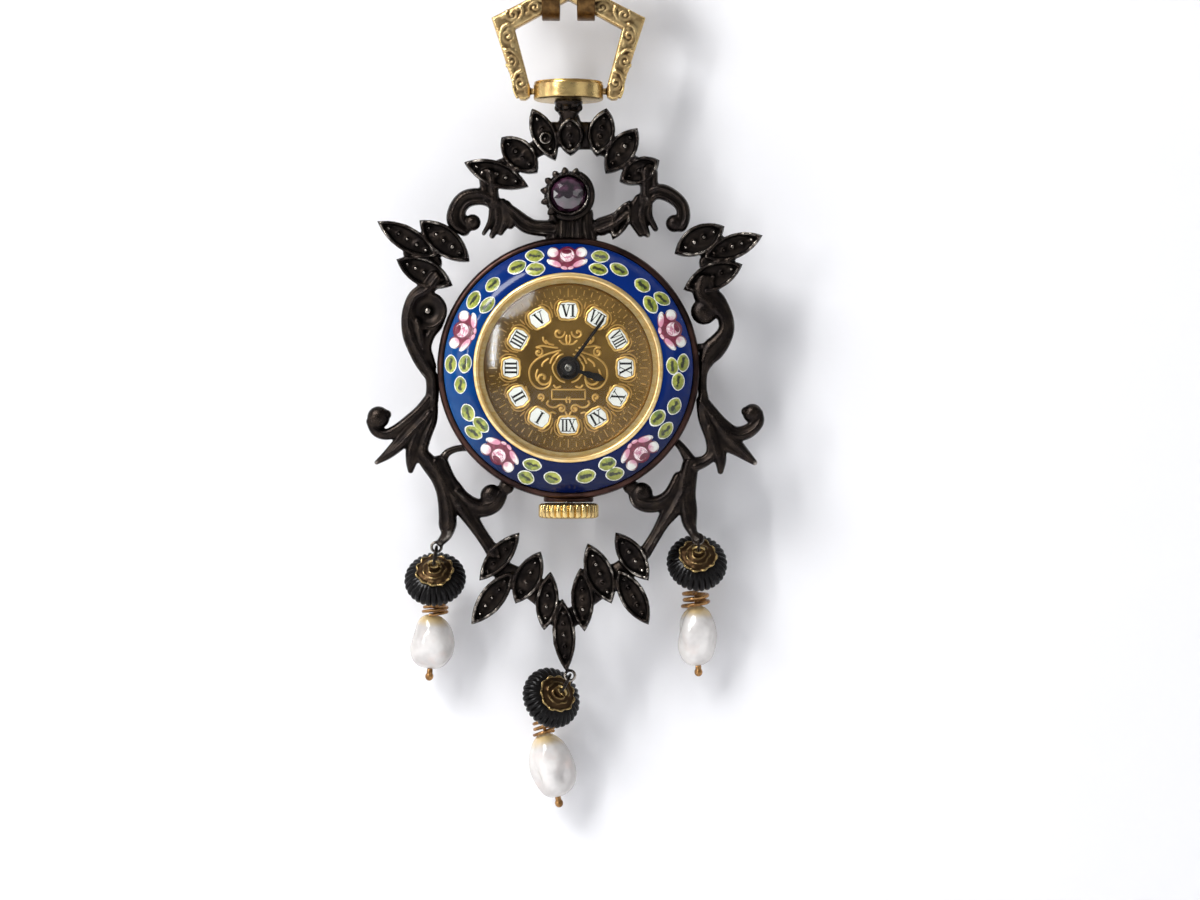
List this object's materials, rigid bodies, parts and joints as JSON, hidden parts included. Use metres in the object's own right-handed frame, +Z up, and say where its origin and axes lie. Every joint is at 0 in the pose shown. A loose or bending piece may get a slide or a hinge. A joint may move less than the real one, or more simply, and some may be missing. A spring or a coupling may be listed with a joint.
{
  "type": "brooch watch",
  "caption": "Brooch watch with blue enamel ring and domed glass in a blackened openwork frame, under a gold link and brooch bar, with three bead and pearl drops.",
  "frame": {"origin": "middle of the brooch pin's stem", "axes": "+Z up as it hangs, -Y towards the viewer of the dial, +X to the right of the dial"},
  "size_m": [0.0399, 0.0126, 0.0891],
  "materials": {
    "antique_gold": "engraved antique gold, brown in the hollows",
    "bright_gold": "polished yellow gold",
    "old_silver": "blackened cast silver, worn bright on its edges",
    "case_metal": "brown oxidised silver",
    "pin_steel": "drawn wire",
    "wound_wire": "dull gold wire",
    "violet_glass": "faceted violet stone",
    "blue_enamel": "glossy blue enamel with flowers",
    "clear_glass": "clear domed glass",
    "dial_gold": "stamped champagne gold with enamel numerals",
    "black_hands": "gloss black",
    "movement_steel": "grained nickel",
    "wheel_brass": "gilt brass",
    "hard_steel": "polished steel",
    "black_bead": "fluted black bead, soft gloss",
    "pearl": "white pearl with a soft lustre"
  },
  "bodies": {
    "brooch": {"brooch_bar": "antique_gold", "straps": "antique_gold", "pin_hinge": "antique_gold", "hinge_rivet": "old_silver", "pin_catch": "antique_gold"},
    "pin": {"brooch_pin": "pin_steel"},
    "link": {"bail": "antique_gold", "bail_pins": "old_silver"},
    "collar": {"swivel_collar": "antique_gold"},
    "watch": {"frame_crest": "old_silver", "frame_wreath": "old_silver", "swivel_stem": "old_silver", "stone_collet": "old_silver", "violet_stone": "violet_glass", "case_band": "case_metal", "enamel_ring": "blue_enamel", "gold_ring": "bright_gold", "crystal": "clear_glass", "dial": "dial_gold", "movement_ring": "movement_steel", "main_plate": "movement_steel", "train_bridge": "movement_steel", "balance_cock": "movement_steel", "movement_screws": "hard_steel", "crown_tube": "bright_gold", "hairspring": "hard_steel"},
    "back": {"case_back": "case_metal"},
    "minute": {"minute_hand": "black_hands", "cannon_pinion": "hard_steel"},
    "hour": {"hour_hand": "black_hands", "hour_wheel": "wheel_brass"},
    "minute_work": {"minute_wheel": "wheel_brass"},
    "barrel": {"mainspring_barrel": "wheel_brass"},
    "centre": {"centre_wheel": "wheel_brass"},
    "third": {"third_wheel": "wheel_brass"},
    "fourth": {"fourth_wheel": "wheel_brass"},
    "escape": {"escape_wheel": "hard_steel"},
    "lever": {"pallet_fork": "hard_steel"},
    "balance": {"balance_wheel": "wheel_brass"},
    "winder": {"winding_pinion": "hard_steel"},
    "crown": {"crown": "bright_gold", "winding_stem": "hard_steel"},
    "crown_work": {"crown_wheel": "hard_steel"},
    "ratchet": {"ratchet_wheel": "hard_steel"},
    "pawl": {"click": "hard_steel"},
    "left_ring": {"left_link": "pin_steel"},
    "left_drop": {"left_bead": "black_bead", "left_cap": "antique_gold"},
    "left_tail": {"left_wire": "wound_wire", "left_pearl": "pearl"},
    "centre_ring": {"centre_link": "pin_steel"},
    "centre_drop": {"centre_bead": "black_bead", "centre_cap": "antique_gold"},
    "centre_tail": {"centre_wire": "wound_wire", "centre_pearl": "pearl"},
    "right_ring": {"right_link": "pin_steel"},
    "right_drop": {"right_bead": "black_bead", "right_cap": "antique_gold"},
    "right_tail": {"right_wire": "wound_wire", "right_pearl": "pearl"}
  },
  "joints": [
    {"name": "pin_open", "type": "hinge", "parent": "brooch", "child": "pin", "pos_m": [-0.0066, 0, 0], "axis": [0, 1, 0], "range_deg": [0, 50]},
    {"name": "link_swing", "type": "hinge", "parent": "brooch", "child": "link", "pos_m": [0, -0.0027, -0.00549], "axis": [1, 0, 0], "range_deg": [-30, 30]},
    {"name": "collar_swing", "type": "hinge", "parent": "link", "child": "collar", "pos_m": [0, -0.0027, -0.01476], "axis": [1, 0, 0], "range_deg": [-60, 60]},
    {"name": "swivel_turn", "type": "hinge", "parent": "collar", "child": "watch", "pos_m": [0, -0.0027, -0.01476], "axis": [0, 0, 1], "continuous": true},
    {"name": "back_off", "type": "slide", "parent": "watch", "child": "back", "axis": [0, 1, 0], "range_m": [0, 0.012]},
    {"name": "minute_turn", "type": "hinge", "parent": "watch", "child": "minute", "pos_m": [0, -0.0027, -0.04246], "axis": [0, 1, 0], "continuous": true},
    {"name": "hour_turn", "type": "hinge", "parent": "watch", "child": "hour", "pos_m": [0, -0.0027, -0.04246], "axis": [0, 1, 0], "continuous": true},
    {"name": "minute_wheel_turn", "type": "hinge", "parent": "watch", "child": "minute_work", "pos_m": [0, -0.0027, -0.04006], "axis": [0, 1, 0], "continuous": true},
    {"name": "escape_turn", "type": "hinge", "parent": "watch", "child": "escape", "pos_m": [0.00427, -0.0027, -0.0421], "axis": [0, 1, 0], "continuous": true},
    {"name": "fourth_turn", "type": "hinge", "parent": "watch", "child": "fourth", "pos_m": [0.00257, -0.0027, -0.04008], "axis": [0, 1, 0], "continuous": true},
    {"name": "third_turn", "type": "hinge", "parent": "watch", "child": "third", "pos_m": [-0.00063, -0.0027, -0.03891], "axis": [0, 1, 0], "continuous": true},
    {"name": "centre_turn", "type": "hinge", "parent": "watch", "child": "centre", "pos_m": [0, -0.0027, -0.04246], "axis": [0, 1, 0], "continuous": true},
    {"name": "barrel_turn", "type": "hinge", "parent": "watch", "child": "barrel", "pos_m": [-0.0029, -0.0027, -0.04536], "axis": [0, 1, 0], "continuous": true},
    {"name": "lever_rock", "type": "hinge", "parent": "watch", "child": "lever", "pos_m": [0.00459, -0.0027, -0.04392], "axis": [0, 1, 0], "range_deg": [-6, 6]},
    {"name": "balance_swing", "type": "hinge", "parent": "watch", "child": "balance", "pos_m": [0.00368, -0.0027, -0.04641], "axis": [0, 1, 0], "range_deg": [-130, 130], "stiffness_Nm_per_rad": 0.0001},
    {"name": "crown_turn", "type": "hinge", "parent": "watch", "child": "winder", "pos_m": [0, -0.002, -0.05581], "axis": [0, 0, 1], "continuous": true},
    {"name": "crown_pull", "type": "slide", "parent": "winder", "child": "crown", "axis": [0, 0, -1], "range_m": [0, 0.0006]},
    {"name": "crown_wheel_turn", "type": "hinge", "parent": "watch", "child": "crown_work", "pos_m": [0, -0.0027, -0.04749], "axis": [0, 1, 0], "continuous": true},
    {"name": "ratchet_turn", "type": "hinge", "parent": "watch", "child": "ratchet", "pos_m": [-0.0029, -0.0027, -0.04536], "axis": [0, 1, 0], "continuous": true},
    {"name": "click_lift", "type": "hinge", "parent": "watch", "child": "pawl", "pos_m": [-0.0044, -0.0027, -0.04276], "axis": [0, 1, 0], "range_deg": [0, 8], "stiffness_Nm_per_rad": 0.0001},
    {"name": "left_sway", "type": "hinge", "parent": "watch", "child": "left_ring", "pos_m": [-0.0132, -0.0027, -0.06031], "axis": [0, 1, 0], "range_deg": [-15, 15]},
    {"name": "left_tilt", "type": "hinge", "parent": "left_ring", "child": "left_drop", "pos_m": [-0.01347, -0.00224, -0.06203], "axis": [1, 0, 0], "range_deg": [-50, 5]},
    {"name": "left_hang", "type": "hinge", "parent": "left_drop", "child": "left_tail", "pos_m": [-0.01347, 0.00213, -0.06532], "axis": [0.9962, 0, -0.0872], "range_deg": [-25, 40]},
    {"name": "centre_sway", "type": "hinge", "parent": "watch", "child": "centre_ring", "pos_m": [0.00015, -0.0027, -0.07316], "axis": [0, 1, 0], "range_deg": [-25, 25]},
    {"name": "centre_tilt", "type": "hinge", "parent": "centre_ring", "child": "centre_drop", "pos_m": [-0.00064, -0.00207, -0.07472], "axis": [0.6293, 0, -0.7771], "range_deg": [-50, 5]},
    {"name": "centre_hang", "type": "hinge", "parent": "centre_drop", "child": "centre_tail", "pos_m": [-0.00296, 0.00252, -0.07659], "axis": [0.9816, 0, 0.1908], "range_deg": [-25, 40]},
    {"name": "right_sway", "type": "hinge", "parent": "watch", "child": "right_ring", "pos_m": [0.01295, -0.0027, -0.05951], "axis": [0, 1, 0], "range_deg": [-15, 15]},
    {"name": "right_tilt", "type": "hinge", "parent": "right_ring", "child": "right_drop", "pos_m": [0.01303, -0.0022, -0.06059], "axis": [0.9976, 0, -0.0698], "range_deg": [-50, 5]},
    {"name": "right_hang", "type": "hinge", "parent": "right_drop", "child": "right_tail", "pos_m": [0.01282, 0.00244, -0.06349], "axis": [0.9994, 0, 0.0349], "range_deg": [-25, 40]}
  ],
  "couplings": [
    {"joint": "minute_wheel_turn", "follows": "minute_turn", "ratio": -0.33333},
    {"joint": "hour_turn", "follows": "minute_turn", "ratio": 0.083333},
    {"joint": "fourth_turn", "follows": "escape_turn", "ratio": -0.1},
    {"joint": "third_turn", "follows": "escape_turn", "ratio": 0.013333},
    {"joint": "centre_turn", "follows": "escape_turn", "ratio": -0.0016667},
    {"joint": "barrel_turn", "follows": "escape_turn", "ratio": 0.00023148},
    {"joint": "crown_wheel_turn", "follows": "crown_turn", "ratio": 0.5},
    {"joint": "ratchet_turn", "follows": "crown_turn", "ratio": -0.33333}
  ]
}
